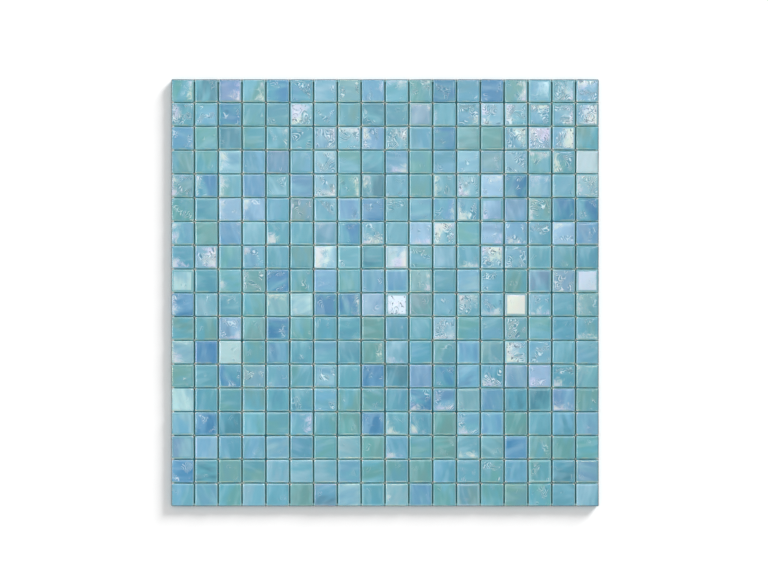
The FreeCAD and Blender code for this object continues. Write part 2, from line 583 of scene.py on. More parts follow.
# %% [markdown]
# The shader will want to know which way the glass of a tile flowed as it was poured, so every
# point is marked with its place along and across the flow. There will be a few versions of the
# glass material as well, and each tile gets the one that its recipe asks for.


# %% Mark the flow and paint the tiles
def mark_flow(tree, cast, x, y):
    """Store each point's place along and across the way that the glass of its tile flowed."""
    flow = tree.node(
        "ShaderNodeVectorRotate",
        {"rotation_type": "Z_AXIS"},
        {"Vector": tree.vector(x, y, 0.0), "Angle": point_value(tree, "turn")},
    )
    return tree.node(
        "GeometryNodeStoreNamedAttribute",
        {"data_type": "FLOAT_VECTOR", "domain": "POINT"},
        {"Geometry": cast, "Name": "flow", "Value": flow},
    )


def paint_films(tree, cast, materials):
    """Give each tile the version of the material that its recipe asks for by number."""
    film = point_value(tree, "film", "INT")
    for number, material in enumerate(materials):
        equal = {"data_type": "INT", "operation": "EQUAL"}
        same = tree.node("FunctionNodeCompare", equal, {2: film, 3: number})
        paint = {"Geometry": cast, "Selection": same, "Material": material}
        cast = tree.node("GeometryNodeSetMaterial", {}, paint)
    return cast


# %% [markdown]
# The tree itself is short now. It puts a blank on every point, makes the copies real, and moves
# the points of their faces up or down, with the lean of the tile and with its ripples. An Array
# modifier would lay the tiles just as evenly, but they would all be the same tile.


# %% Write the tree that casts a row
def casting_tree(materials):
    """Geometry Nodes that turn a row's points into cast tiles."""
    things = {"Points": "NodeSocketGeometry", "Blank": "NodeSocketObject"}
    numbers = {"Swell Length": 9.0, "Ripple Length": 2.6, "Crown": 0.12}
    group, tree, given = new_group("cast_row", things, numbers)
    blank_in = tree.node("GeometryNodeObjectInfo", {}, {"Object": given.output("Blank")})
    slope_x, slope_y, twist = tree.axes(point_value(tree, "slope", "FLOAT_VECTOR"))
    standing = {"Points": given, "Instance": blank_in.output("Geometry")}
    standing["Rotation"] = tree.vector(0.0, 0.0, twist)
    copies = tree.node("GeometryNodeInstanceOnPoints", {}, standing)
    real = tree.node("GeometryNodeRealizeInstances", {}, {"Geometry": copies})

    x, y, height = tree.axes(point_value(tree, "place", "FLOAT_VECTOR"))
    lean = height * (slope_x * x + slope_y * y)
    lift = (lean + height * face_relief(tree, given, x, y)) * MM
    lifted = {"Geometry": real, "Offset": tree.vector(0.0, 0.0, lift)}
    cast = tree.node("GeometryNodeSetPosition", {}, lifted)
    cast = mark_flow(tree, cast, x, y)
    cast = paint_films(tree, cast, materials)
    tree.node("NodeGroupOutput", {}, {"Made": cast})
    return group


# %% [markdown]
# In Blender a mesh, a lamp or a camera is data, and an object gives it a place. The object only
# shows once it is in the scene's collection, so one function does both steps.


# %% Put things in the scene
def put_in_scene(name, data):
    """A new object with this mesh, lamp or camera, at the origin."""
    thing = bpy.data.objects.new(name, data)
    bpy.context.scene.collection.objects.link(thing)
    return thing


# %% [markdown]
# A node tree runs as a modifier on an object, and the object's evaluated copy holds what it
# made. The export and the frame want plain meshes, so the result becomes the object's own mesh
# and the modifier goes. An input of a modifier is set by its identifier, not by its name.


# %% Run a node tree
def run_tree(name, mesh, group, values):
    """An object with the result of a node tree as its plain mesh, and no modifier left."""
    thing = put_in_scene(name, mesh)
    modifier = thing.modifiers.new("nodes", "NODES")
    modifier.node_group = group
    for item in group.interface.items_tree:
        if item.item_type == "SOCKET" and item.name in values:
            modifier[item.identifier] = values[item.name]
    graph = bpy.context.evaluated_depsgraph_get()
    made = bpy.data.meshes.new_from_object(
        thing.evaluated_get(graph), preserve_all_data_layers=True, depsgraph=graph
    )
    made.name = name
    thing.modifiers.clear()
    thing.data = made
    return thing


# %% [markdown]
# Now the glass. On the real sheet it is a pale opal glass, poured from more than one batch, and
# its hot face was sprayed with metal salts that left a pearly film. Pictures could carry all
# this, but then every sheet would show the same tiles, and only at one sharpness. A shader that
# reads the recipes works each tile out anew. It starts with a class that gathers what the mesh
# knows about the tile, so that the steps after it can simply ask.


# %% Read a recipe in the shader
def new_material(name):
    """An empty material and the tree to write it with."""
    material = bpy.data.materials.new(name)
    material.use_nodes = True
    material.node_tree.nodes.clear()
    return material, Tree(material.node_tree)


def surface(tree, kind, sockets):
    """The last two nodes of a material: a shader, and the output that it feeds."""
    shader = tree.node(kind, {}, sockets)
    tree.node("ShaderNodeOutputMaterial", {}, {"Surface": shader})


class Tile:
    """What the shader knows about the tile that it paints, in mm from the tile's middle."""

    def __init__(self, tree):
        self.tree = tree
        self.x, self.y, self.height = tree.axes(self.attribute("place", "Vector"))
        self.across, self.along, _ = tree.axes(self.attribute("flow", "Vector"))
        self.pearl, self.warmth, self.side = tree.axes(self.attribute("lustre", "Vector"))
        _, _, self.wrinkle = tree.axes(self.attribute("relief", "Vector"))
        self.seed = self.attribute("seed", "Fac")
        self.inset = self.attribute("inset", "Fac")
        self.frame = self.attribute("frame", "Fac")
        self.near_edge = tree.ramp(self.inset, 2.0, 1.3)
        self.on_face = tree.ramp(self.height, 0.7, 0.9)
        self.on_sheet = tree.node("ShaderNodeTexCoord").output("Object")

    def attribute(self, name, output):
        return self.tree.node("ShaderNodeAttribute", {"attribute_name": name}).output(output)

    def noise(self, x, y, shift, *settings):
        """Blotches that no other tile has: the seed moves each tile to its own part of the noise."""
        return self.tree.noise(self.tree.vector(x, y, self.seed * shift), 1.0, *settings)


# %% [markdown]
# The pour comes first. Two noises are stretched along the way that the glass flowed: a slow one
# that turns the main glass into the second one, and a finer one for pale and dark grain. The
# grain is shifted paler towards each tile's left side and darker towards its right, which is
# painted light from the left. Some tiles have a paler frame too, where the glass chilled against its
# mould.

# %% Pour the glass
PALE_GRAIN = srgb(176, 214, 226)
DARK_GRAIN = srgb(64, 134, 158)
CHILLED_FRAME = srgb(146, 200, 206)


def poured_glass(tile):
    """The colour of the glass, with painted light from the left in its grain, and the slow bands in
    it.
    """
    tree = tile.tree
    main, second = tile.attribute("glass_main", "Color"), tile.attribute("glass_streak", "Color")
    bands = tile.noise(tile.across * 0.12, tile.along * 0.05, 1.0, 2.0)
    colour = tree.mix(tree.ramp(bands, 0.36, 0.64), main, second)
    # Real grain, shifted paler towards the tile's left and darker towards its right: painted light
    # from the left.
    grain_and_side_light = tile.noise(tile.across * 0.26, tile.along * 0.07, 5.9, 1.0) - tile.x * 0.01
    colour = tree.mix(tree.ramp(grain_and_side_light, 0.48, 0.72) * 0.16, colour, PALE_GRAIN)
    colour = tree.mix(tree.ramp(grain_and_side_light, 0.52, 0.28) * 0.1, colour, DARK_GRAIN)
    pale_frame = tile.near_edge * tree.ramp(tile.frame, 0.05, 0.8) * 0.5
    return tree.mix(pale_frame, colour, CHILLED_FRAME), bands


# %% [markdown]
# Where a face wrinkled as it froze, the wrinkles run like the height lines on a map. The sine of
# a noise draws such lines: each time that the noise has climbed one more step, the sine has gone
# through one more wave. A second, slower noise says which part of the face they cover.


# %% Wrinkle the face
def wrinkles(tile):
    """Wrinkle lines, from -1 in a trough to 1 on a crest, where they are, and the slow noise."""
    tree = tile.tree
    phase = tile.noise(tile.across * 0.12, tile.along * 0.09, 1.9, 1.2, 0.8) * 115.0
    patch = tile.noise(tile.x * 0.16, tile.y * 0.16, 3.1, 0.0)
    wrinkled = tree.ramp(patch + tile.wrinkle * 0.36, 0.68, 0.8) * tree.ramp(tile.inset, 0.6, 1.8)
    wrinkled = wrinkled * (tree.ramp(tile.wrinkle, 0.0, 0.5) * 0.7 + 0.3)
    return phase.then("SINE"), wrinkled, patch


# %% [markdown]
# The lustre lies where the spray hit: thick on a few tiles, a patch at one side of others, and
# nothing on most. The recipe's pearl value is how much there is and its side is where it came
# from. The patch isn't paint with an edge, so its cover is a sum: pearl, side and a crinkled
# noise, made soft by one wide ramp. Its pale colour is the film's own and also painted sheen,
# which stands in for the light that it mirrors. On the white tile it is painted glare. A slow
# noise tints it lilac or pale yellow. The crests of the wrinkles get a painted highlight and their
# troughs get painted shade, and in the thickest lustre are small bare specks.

# %% Spray the lustre
THIN_COOL = srgb(188, 211, 226)
THIN_WARM = srgb(226, 233, 224)
THICK_COOL = srgb(188, 208, 222)
THICK_WARM = srgb(214, 224, 206)
THICKEST_LUSTRE_AND_GLARE = srgb(211, 227, 238)
ROSE_TINT = srgb(232, 222, 222)
LILAC_TINT = srgb(212, 206, 242)
LEMON_TINT = srgb(228, 240, 206)
PAINTED_CREST_HIGHLIGHT = srgb(224, 238, 242)
PAINTED_TROUGH_SHADE = srgb(56, 120, 140)
BARE_SPECK = srgb(58, 98, 118)


def lustre(tile, colour, bands, lines, wrinkled):
    """The glass with the pearly film and painted sheen on it, its tints, the wrinkles' painted
    highlights and shade, and the bare specks.
    """
    tree = tile.tree
    toward = (tile.x * tile.side.then("COSINE") + tile.y * tile.side.then("SINE")) / 8
    crinkle = tile.noise(tile.x * 0.19, tile.y * 0.19, 4.7, 1.6, 0.4) - 0.5
    cover = tile.pearl + crinkle * 0.8 + toward * 0.36 + lines * 0.07
    sprayed = tree.ramp(tile.pearl, 0.03, 0.2) * tree.ramp(tile.inset, 0.5, 1.5)
    # Where the pale film colour goes: the lustre itself, and painted sheen for the light that it
    # mirrors.
    pearly_and_sheen = tree.ramp(cover, 0.42, 0.82) * sprayed
    film = tree.mix(tile.warmth, THIN_COOL, THIN_WARM)
    film = tree.mix(tree.ramp(toward + bands, 0.6, 1.3) * 0.6, film, ROSE_TINT)
    tint = tile.noise(tile.x * 0.09, tile.y * 0.09, 6.3, 0.0)
    film = tree.mix(tree.ramp(tint, 0.52, 0.66) * 0.6, film, LILAC_TINT)
    film = tree.mix(tree.ramp(tint, 0.48, 0.34) * 0.5, film, LEMON_TINT)
    thick = tree.mix(tile.warmth, THICK_COOL, THICK_WARM)
    film = tree.mix(tree.ramp(tile.pearl, 0.8, 1.0) * 0.8, film, thick)
    # The white tile's face is painted near white: its thickest lustre, and painted glare.
    film = tree.mix(tree.ramp(tile.pearl, 1.0, 1.2), film, THICKEST_LUSTRE_AND_GLARE)
    colour = tree.mix(pearly_and_sheen * (tree.ramp(tile.pearl, 0.45, 1.0) * 0.24 + 0.66), colour, film)
    # Painted highlights on the wrinkles' crests and painted shade in their troughs.
    colour = tree.mix(wrinkled * tree.ramp(lines, 0.5, 1.0) * 0.7, colour, PAINTED_CREST_HIGHLIGHT)
    colour = tree.mix(wrinkled * tree.ramp(lines, -0.55, -1.0) * 0.8, colour, PAINTED_TROUGH_SHADE)
    specks = tree.ramp(tile.noise(tile.x * 0.5, tile.y * 0.4, 8.3, 2.0), 0.6, 0.65)
    bare = specks * pearly_and_sheen * tree.ramp(tile.wrinkle, 0.4, 0.5)
    return tree.mix(bare * 0.85, colour, BARE_SPECK)


# %% [markdown]
# A tile tells its thickness at its edges. Its rolled rim gets a painted highlight, and the side
# below it gets painted shade, a darker teal towards its foot. Some corners get pale painted
# glints, most towards the upper left and along the sheet's left edge, and some of the lower rims
# get a paler, greyer band. Round the whole sheet runs a grey line, where no tile
# stands beside the rim to throw its colour back.

# %% Paint highlights, shade and glints on the edges
DARK_FRAME = srgb(74, 150, 160)
PAINTED_RIM_HIGHLIGHT = srgb(190, 228, 232)
PAINTED_SIDE_SHADE = srgb(64, 146, 158)
LOWER_RIM_GREY = srgb(160, 182, 160)
PAINTED_CORNER_GLINT = srgb(240, 234, 228)
SHEET_OUTLINE = srgb(78, 96, 104)


def outermost(tree, spot, start, end):
    """0 where the sheet's outer edge is farther off than start, and 1 where it is nearer than end."""
    x, y, _ = tree.axes(spot)
    past_x = x.then("ABSOLUTE") - cad_high.x
    past_y = y.then("ABSOLUTE") - cad_high.y
    return tree.ramp(past_x.then("MAXIMUM", past_y), -start, -end)


def edges(tile, colour):
    """The tile with its frame, painted rim highlight, painted shade on its sides, pale lower band,
    painted corner glints and the grey line.
    """
    tree = tile.tree
    distance_x, distance_y = tile.x.then("ABSOLUTE"), tile.y.then("ABSOLUTE")
    dark_frame = tile.near_edge * tree.ramp(tile.frame, -0.05, -0.8)
    colour = tree.mix(dark_frame * 0.7, colour, DARK_FRAME)
    # Painted highlight along the rolled rim, strongest along the right side.
    rim = tree.ramp(tile.inset, 0.75, 0.15) * tile.on_face
    at_sides = tree.ramp(tile.x, 5.0, 7.0) * 0.46 + tree.ramp(tile.x, -5.0, -7.0) * 0.12
    shine = at_sides + tree.ramp(tile.y, 5.0, 7.0) * 0.16 + 0.24
    colour = tree.mix(rim * shine, colour, PAINTED_RIM_HIGHLIGHT)
    # Painted shade: a darker teal further down the sides, into the joints.
    deep = 1 - tree.ramp(tile.height, 0.6, 0.93)
    colour = tree.mix(deep * 0.6, colour, PAINTED_SIDE_SHADE)

    sheet_x, _, _ = tree.axes(tile.on_sheet)
    # Which corners get painted glints and which lower rims get the pale band: more of both towards
    # the upper left and along the sheet's left edge.
    pale_marks_noise = tile.noise(tile.x * 0.12, tile.y * 0.12, 7.1, 0.0) + (tile.y - tile.x) * 0.006
    pale_marks_noise = pale_marks_noise + tree.ramp(sheet_x, cad_low.x + 4 * MM, cad_low.x + 2 * MM) * 0.15
    # A paler, greyer band along the lower rim of some faces.
    lower_rim_band = tree.ramp(tile.y, -6.4, -7.2) * tile.on_face * tree.ramp(pale_marks_noise, 0.4, 0.56)
    colour = tree.mix(lower_rim_band * 0.45, colour, LOWER_RIM_GREY)
    # Painted glints: pale spots on some corners, on the face and down the side.
    corner = distance_x / (tile_length / 2 / MM) + distance_y / (tile_width / 2 / MM)
    corner_glint = tree.ramp(corner, 1.78, 1.88) * tree.ramp(pale_marks_noise, 0.47, 0.55)
    colour = tree.mix(corner_glint * tree.ramp(tile.height, 0.6, 0.93) * 0.8, colour, PAINTED_CORNER_GLINT)
    outline = outermost(tree, tile.on_sheet, 0.9 * MM, 0.5 * MM) * tree.ramp(tile.height, 0.7, 0.85)
    return tree.mix(outline * 0.85, colour, SHEET_OUTLINE)


# %% [markdown]
# The parts come together in one shader. Some light goes into opal glass and comes out beside the
# place where it went in, which is what the subsurface values say. The lustre is also a real
# film, a few hundred nanometres thick, that tints what the face reflects. Its thickness has to
# be a plain number, so there are a few versions of the material, one for each, and a tile's
# recipe says which of them it gets.

# %% The glass material
FILMS = (0.0, 160.0, 312.0, 262.0)


def cast_glass(name, film_thickness):
    """One version of the glass, with a film that is this many nanometres thick."""
    material, tree = new_material(name)
    tile = Tile(tree)
    colour, bands = poured_glass(tile)
    lines, wrinkled, patch = wrinkles(tile)
    colour = lustre(tile, colour, bands, lines, wrinkled)
    colour = edges(tile, colour)

    crumple = tile.noise(tile.x * 0.8, tile.y * 0.8, 2.3, 2.0, 1.0)
    rough_patch = tree.ramp(patch + tile.wrinkle * 0.3, 0.55, 0.8) * 0.3 + 0.06
    relief = lines * wrinkled * 0.7 + crumple * rough_patch
    bump = tree.node("ShaderNodeBump", {}, {"Height": relief, "Strength": 1.0, "Distance": 0.1 * MM})
    back = 1 - tree.ramp(tile.height, 0.05, 0.15)
    opal = {
        "Base Color": colour,
        "Roughness": 0.08 + crumple * 0.08 + back * 0.5,
        "IOR": 1.6,
        "Subsurface Weight": 0.4,
        "Subsurface Radius": (0.3, 1.0, 1.2),
        "Subsurface Scale": 2.0 * MM,
        "Thin Film Thickness": film_thickness,
        "Thin Film IOR": 1.7,
        "Normal": bump,
    }
    surface(tree, "ShaderNodeBsdfPrincipled", opal)
    return material


glass_materials = [cast_glass(f"cast_glass_{number}", film) for number, film in enumerate(FILMS)]
print("Versions of the glass:", len(glass_materials))

# %% [markdown]
# With the glass ready, the rows are cast. Each row is a piece of its own, as it is in the solids,
# and the row of the solids that it replaces is hidden. The blank has done its work then, and goes.
# Each row is a piece of its own, as it is in the solids,
# and says which of them it replaces. The blank has done its work then, and goes.

# %% Cast the rows
BODY = "root"
casting = casting_tree(glass_materials)
glass_rows = []
for number, node in enumerate(row_nodes):
    points = row_points(number, recipes[number])
    piece = run_tree(f"glass_row_{number + 1:02d}", points, casting, {"Blank": blank})
    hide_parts(node)
    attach(piece, BODY)
    glass_rows.append(piece)
bpy.data.objects.remove(blank)
tile_faces = sum(len(piece.data.polygons) for piece in glass_rows)
print("Tile rows cast:", len(glass_rows), "with", tile_faces, "faces")

# %% [markdown]
# The tiles are glued to a net of flat glass-fibre yarns, which run both ways and pass over and
# under each other. It can't be seen from the front, but who lifts the sheet will see it. A woven
# pattern could be painted on a plane with holes cut by transparency, but the holes would let
# nothing through from the side, so the yarns are real. A yarn is a line with a flat six-sided
# section swept along it, and a wave of the right length lifts it at each crossing that it goes
# over: the next yarn has the same wave turned upside down.


# %% Run yarns one way
def yarns(tree, given, section, yarns_run_x):
    """All the yarns that run one way, each lifted where it passes over the yarns of the other."""
    length, width, pitch = given.output("Length"), given.output("Width"), given.output("Pitch")
    run, spread = (length, width) if yarns_run_x else (width, length)
    yarn_count = (spread / pitch).then("FLOOR")

    def aim(along, across):
        """A vector with these lengths along the yarn and across it."""
        pair = (along, across) if yarns_run_x else (across, along)
        return tree.vector(*pair, 0.0)

    ends = {"Start": aim(0 - run / 2, 0.0), "End": aim(run / 2, 0.0)}
    line = tree.node("GeometryNodeCurvePrimitiveLine", {}, ends)
    segments = (run / pitch * 2).then("ROUND")
    fine = tree.node("GeometryNodeResampleCurve", {}, {"Curve": line, "Count": segments + 1})
    swept = {"Curve": fine, "Profile Curve": section, "Fill Caps": True}
    yarn = tree.node("GeometryNodeCurveToMesh", {}, swept)
    lanes = {
        "Count": yarn_count + 1,
        "Start Location": aim(0.0, 0 - yarn_count * pitch / 2),
        "Offset": aim(0.0, pitch),
    }
    spots = tree.node("GeometryNodeMeshLine", {"mode": "OFFSET"}, lanes)
    spot_x, spot_y, _ = tree.axes(tree.node("GeometryNodeInputPosition"))
    here, lane = (spot_x, spot_y) if yarns_run_x else (spot_y, spot_x)
    named = tree.node(
        "GeometryNodeStoreNamedAttribute",
        {"data_type": "FLOAT", "domain": "POINT"},
        {"Geometry": spots, "Name": "lane", "Value": lane},
    )
    laid = tree.node("GeometryNodeInstanceOnPoints", {}, {"Points": named, "Instance": yarn})
    real = tree.node("GeometryNodeRealizeInstances", {}, {"Geometry": laid})
    crossing = (here / pitch * math.pi).then("COSINE")
    parity = (point_value(tree, "lane") / pitch * math.pi).then("COSINE")
    sign = 1.0 if yarns_run_x else -1.0
    rise = crossing * parity * given.output("Weave Height") * sign + given.output("Middle Height")
    lifted = {"Geometry": real, "Offset": tree.vector(0.0, 0.0, rise)}
    return tree.node("GeometryNodeSetPosition", {}, lifted)


# %% [markdown]
# The net joins the yarns that run along the rows with those that run across them. Its sizes are
# inputs of the tree, so a wider or a coarser net needs no other tree.

# %% Weave the backing net
YARN_PITCH = 5.0 * MM
YARN_WIDTH = 0.8 * MM
YARN_THICKNESS = 0.16 * MM


def net_tree(material):
    """Geometry Nodes that weave the net. All of it comes from numbers, so it starts from nothing."""
    numbers = {
        "Length": 0.3,
        "Width": 0.3,
        "Pitch": YARN_PITCH,
        "Yarn Width": YARN_WIDTH,
        "Yarn Thickness": YARN_THICKNESS,
        "Middle Height": 0.0,
        "Weave Height": 0.0,
    }
    group, tree, given = new_group("weave_net", {"Start": "NodeSocketGeometry"}, numbers)
    round_shape = {"Resolution": 6, "Radius": 0.5}
    circle = tree.node("GeometryNodeCurvePrimitiveCircle", {"mode": "RADIUS"}, round_shape)
    flat = tree.vector(given.output("Yarn Width"), given.output("Yarn Thickness"), 1.0)
    section = tree.node("GeometryNodeTransform", {}, {"Geometry": circle, "Scale": flat})
    joined = tree.node("GeometryNodeJoinGeometry")
    for yarns_run_x in (True, False):
        tree.plug(yarns(tree, given, section, yarns_run_x), joined.socket.node.inputs[0])
    painted = tree.node("GeometryNodeSetMaterial", {}, {"Geometry": joined, "Material": material})
    tree.node("NodeGroupOutput", {}, {"Made": painted})
    return group


# %% [markdown]
# The yarn is pale glass fibre, and the glue that holds the tiles has soaked into it in places.
# Its fibres are far too fine to model, and a noise in a Bump node is enough for them. The net
# fills the plain sheet that stands for it in the solids, from edge to edge, and its waves stay
# just inside that sheet's thickness.

# %% Lay the net
NET_NODE = "backing_net"
BARE_YARN = srgb(212, 212, 202)
GLUED_YARN = srgb(184, 186, 172)
WEAVE_SHARE = 0.98


def yarn_material():
    """Pale yarn, darker and smoother where glue has soaked it."""
    material, tree = new_material("glass_fibre_yarn")
    spot = tree.node("ShaderNodeTexCoord").output("Object")
    fibres = tree.noise(spot, 2600.0, 2.0)
    glue = tree.ramp(tree.noise(spot, 110.0, 2.0), 0.42, 0.62)
    colour = tree.mix(glue, BARE_YARN, GLUED_YARN)
    bump = tree.node("ShaderNodeBump", {}, {"Height": fibres, "Strength": 0.6, "Distance": 0.05 * MM})
    dull = {
        "Base Color": colour,
        "Roughness": 0.65 - glue * 0.35,
        "Specular IOR Level": 0.1,
        "Normal": bump,
    }
    surface(tree, "ShaderNodeBsdfPrincipled", dull)
    return material


net_low, net_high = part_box(NET_NODE)
net_size = net_high - net_low
weave = (net_size.z - YARN_THICKNESS) / 2
net = run_tree(
    "yarn_net",
    bpy.data.meshes.new("net_start"),
    net_tree(yarn_material()),
    {
        "Length": net_size.x,
        "Width": net_size.y,
        "Middle Height": net_low.z + net_size.z / 2,
        "Weave Height": weave * WEAVE_SHARE,
    },
)
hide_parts(NET_NODE)
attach(net, BODY)
print("Net faces:", len(net.data.polygons))

# %% [markdown]
# The tiles are pressed into wet glue on the net, and some of it comes up between them. Its colour
# there is painted light: the blue and green light of the glass beside it, darker as painted shade
# in the column joints, pale where more light reaches it at the crossings and at the sheet's edge,
# and white at the left ends, lit from the side. It has a little dust in it too. The joints lie at
# whole pitches from the sheet's middle, so a cosine finds them for the shader.

# %% The dried glue
GLUE_IN_BLUE_GLASS_LIGHT = srgb(112, 186, 200)
GLUE_IN_GREEN_GLASS_LIGHT = srgb(142, 206, 202)
DUSTY_GLUE = srgb(142, 152, 120)
COLUMN_GLUE_SHADE = srgb(50, 122, 122)
CROSSING_GLUE_LIT = srgb(230, 238, 230)
GLUE_END_LIT = srgb(170, 206, 208)
GLUE_LEFT_END_LIT = srgb(246, 248, 246)
GLUE_OUTLINE = srgb(84, 90, 92)


def glue_material():
    """Glue painted with the glass's light and the joints' shade, pale where joints cross and at the
    sheet's edge.
    """
    material, tree = new_material("dried_glue")
    spot = tree.node("ShaderNodeTexCoord").output("Object")
    x, y, _ = tree.axes(spot)

    def in_joint(place, pitch):
        """1 in the joints, which lie at whole pitches from the sheet's middle, and 0 between."""
        return tree.ramp((place * (2 * math.pi / pitch)).then("COSINE"), 0.95, 0.985)

    in_column, in_row = in_joint(x, column_pitch), in_joint(y, row_pitch)
    cloud = tree.noise(spot, 90.0, 2.0)
    fleck = tree.noise(spot, 420.0, 2.0)
    # Painted light: the glass's blue and green light on the glue.
    colour = tree.mix(tree.ramp(cloud, 0.38, 0.62), GLUE_IN_BLUE_GLASS_LIGHT, GLUE_IN_GREEN_GLASS_LIGHT)
    colour = tree.mix(tree.ramp(fleck, 0.56, 0.66) * 0.45, colour, DUSTY_GLUE)
    # Painted shade, darker in the column joints.
    colour = tree.mix(in_column * 0.5, colour, COLUMN_GLUE_SHADE)
    # Painted light where the joints cross and more light reaches the glue.
    crossing = in_column * in_row * tree.ramp(cloud, 0.36, 0.46)
    colour = tree.mix(crossing * 0.9, colour, CROSSING_GLUE_LIT)
    # Painted light at the joints' ends, lit from the side: white at the left ends, pale teal at the
    # others.
    at_left = tree.ramp(x, cad_low.x + 9 * MM, cad_low.x + 6 * MM)
    end_colour = tree.mix(at_left, GLUE_END_LIT, GLUE_LEFT_END_LIT)
    colour = tree.mix(outermost(tree, spot, 2.2 * MM, 1.8 * MM), colour, end_colour)
    colour = tree.mix(outermost(tree, spot, 0.8 * MM, 0.5 * MM) * 0.85, colour, GLUE_OUTLINE)
    dull = {"Base Color": colour, "Roughness": 0.5, "Specular IOR Level": 0.1}
    surface(tree, "ShaderNodeBsdfPrincipled", dull)
    return material


# %% [markdown]
# The glue stands as a low ridge along every joint, higher between the rows than between the
# columns, and high at the sheet's edge. At the crossings, where the corners of four tiles leave
# more room, a bead of it comes up. So the first step is to say how high it stands at each place
# along a joint.

# %% Say where the glue rises
GLUE_CRESTS = (0.45 * MM, 2.2 * MM)
CREST_SPREAD = (0.85, 1.2)
BEAD_LENGTH = 1.1 * MM
BEAD_CRESTS = (0.5, 3.5)
END_LENGTH = 1.6 * MM
END_CREST = 3.3 * MM


def crests(draw, axis, half, pitch, count):
    """Where the glue in a joint rises and sinks: pairs of a place along it and its height there.

    Each crossing has a point, one on each side of it and one halfway back to the crossing before
    it. The first crossing has none before it, so it goes without.
    """
    ends = [(half, END_CREST), (half - END_LENGTH, END_CREST * 0.9)]
    ends.append((half - 1.5 * END_LENGTH, GLUE_CRESTS[axis]))
    spots = [(-place, height) for place, height in ends]
    for number in range(1, count):
        crossing = (number - count / 2) * pitch
        for place in (crossing - pitch / 2, crossing - BEAD_LENGTH, crossing, crossing + BEAD_LENGTH):
            height = GLUE_CRESTS[axis] * draw.uniform(*CREST_SPREAD)
            if place == crossing:
                height = max(height, draw.uniform(*BEAD_CRESTS) * MM)
            spots.append((place, height))
    return spots[:3] + spots[4:] + ends[::-1]


# %% [markdown]
# A ridge is a section of five points, carried along its joint from one of those places to the
# next. The section's middle is sunk, as glue shrinks when it dries. A curve with a swept section
# and a radius at each point would make it too, but its width would swell with its height.

# %% Run the glue along the joints
GLUE_SECTION = ((-0.8, 0.2), (-0.52, 1.0), (0.0, 0.75), (0.52, 1.0), (0.8, 0.2))
END_GAP = 0.1 * MM
ROW_JOINT = row_pitch - tile_width


def glue_lines():
    """Ridges of dried glue along all the joints, as one mesh."""
    draw = random.Random(FIRST_SEED)
    points, faces = [], []
    corners = len(GLUE_SECTION)
    rows = len(row_nodes)
    lanes = [(0, (number - COLUMNS / 2) * column_pitch, COLUMN_JOINT) for number in range(1, COLUMNS)]
    lanes += [(1, (number - rows / 2) * row_pitch, ROW_JOINT) for number in range(1, rows)]
    for axis, lane, joint in lanes:
        run = (row_pitch, rows) if axis == 0 else (column_pitch, COLUMNS)
        spots = crests(draw, axis, (cad_high.y, cad_high.x)[axis] - END_GAP, *run)
        rings = []
        for place, crest in spots:
            rings.append(range(len(points), len(points) + corners))
            for across, share in GLUE_SECTION:
                spot = [0.0, 0.0, crest * share]
                spot[axis] = lane + across * joint
                spot[1 - axis] = place
                points.append(spot)
        made = [tuple(reversed(rings[0])), tuple(rings[-1])]
        for ring, after in zip(rings, rings[1:]):
            for corner in range(corners):
                following = (corner + 1) % corners
                made.append((ring[corner], ring[following], after[following], after[corner]))
        faces += made if axis else [tuple(reversed(face)) for face in made]
    mesh = bpy.data.meshes.new("glue_lines")
    mesh.from_pydata(points, [], faces)
    mesh.materials.append(glue_material())
    return put_in_scene("glue_lines", mesh)


glue = glue_lines()
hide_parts(NET_NODE)
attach(glue, BODY)
print("Glue faces:", len(glue.data.polygons))

# %% [markdown]
# The object is done, and the rest is a small studio. The floor is white and dull, so that it
# shows nothing but the sheet's own shadow.

# %% Floor
FLOOR_SIZE = 8.0


def floor():
    """A plain white square, far wider than the sheet."""
    half = FLOOR_SIZE / 2
    mesh = bpy.data.meshes.new("floor")
    corners = [(-half, -half, 0), (half, -half, 0), (half, half, 0), (-half, half, 0)]
    mesh.from_pydata(corners, [], [(0, 1, 2, 3)])
    thing = put_in_scene("floor", mesh)
    material, tree = new_material("pale_floor")
    surface(tree, "ShaderNodeBsdfDiffuse", {"Color": (1.0, 1.0, 1.0, 1.0)})
    mesh.materials.append(material)
    return thing


ground = floor()
print("Floor side in m:", FLOOR_SIZE)

# %% [markdown]
# The world is white where a camera or a reflection meets it, so the background is white and the
# glass has something pale to mirror. As a light it is dimmer, so the lamps can shape the sheet.

# %% Sky
SKY_LIGHT = 0.6


def sky():
    """White where a camera or a reflection meets it, and dimmer as a light."""
    world = bpy.data.worlds.new("studio")
    bpy.context.scene.world = world
    world.use_nodes = True
    world.node_tree.nodes.clear()
    tree = Tree(world.node_tree)
    ray = tree.node("ShaderNodeLightPath")
    seen = ray + ray.output("Is Glossy Ray") + ray.output("Is Transmission Ray")
    strength = seen.then("MINIMUM", 1.0) * (1 - SKY_LIGHT) + SKY_LIGHT
    background = tree.node("ShaderNodeBackground", {}, {"Color": (1, 1, 1, 1), "Strength": strength})
    tree.node("ShaderNodeOutputWorld", {}, {"Surface": background})


sky()
print("Sky as a light:", SKY_LIGHT)

# %% [markdown]
# There are two kinds of lamp. A sun is far off, so where it stands doesn't matter, and its power
# is worked out from how much light it should add. A softbox is a round window near the sheet,
# and its power is worked out from how bright it should look, because that is what a reflection
# in the glass shows.

# %% Make the lamps
SUN_DISTANCE = 2.0


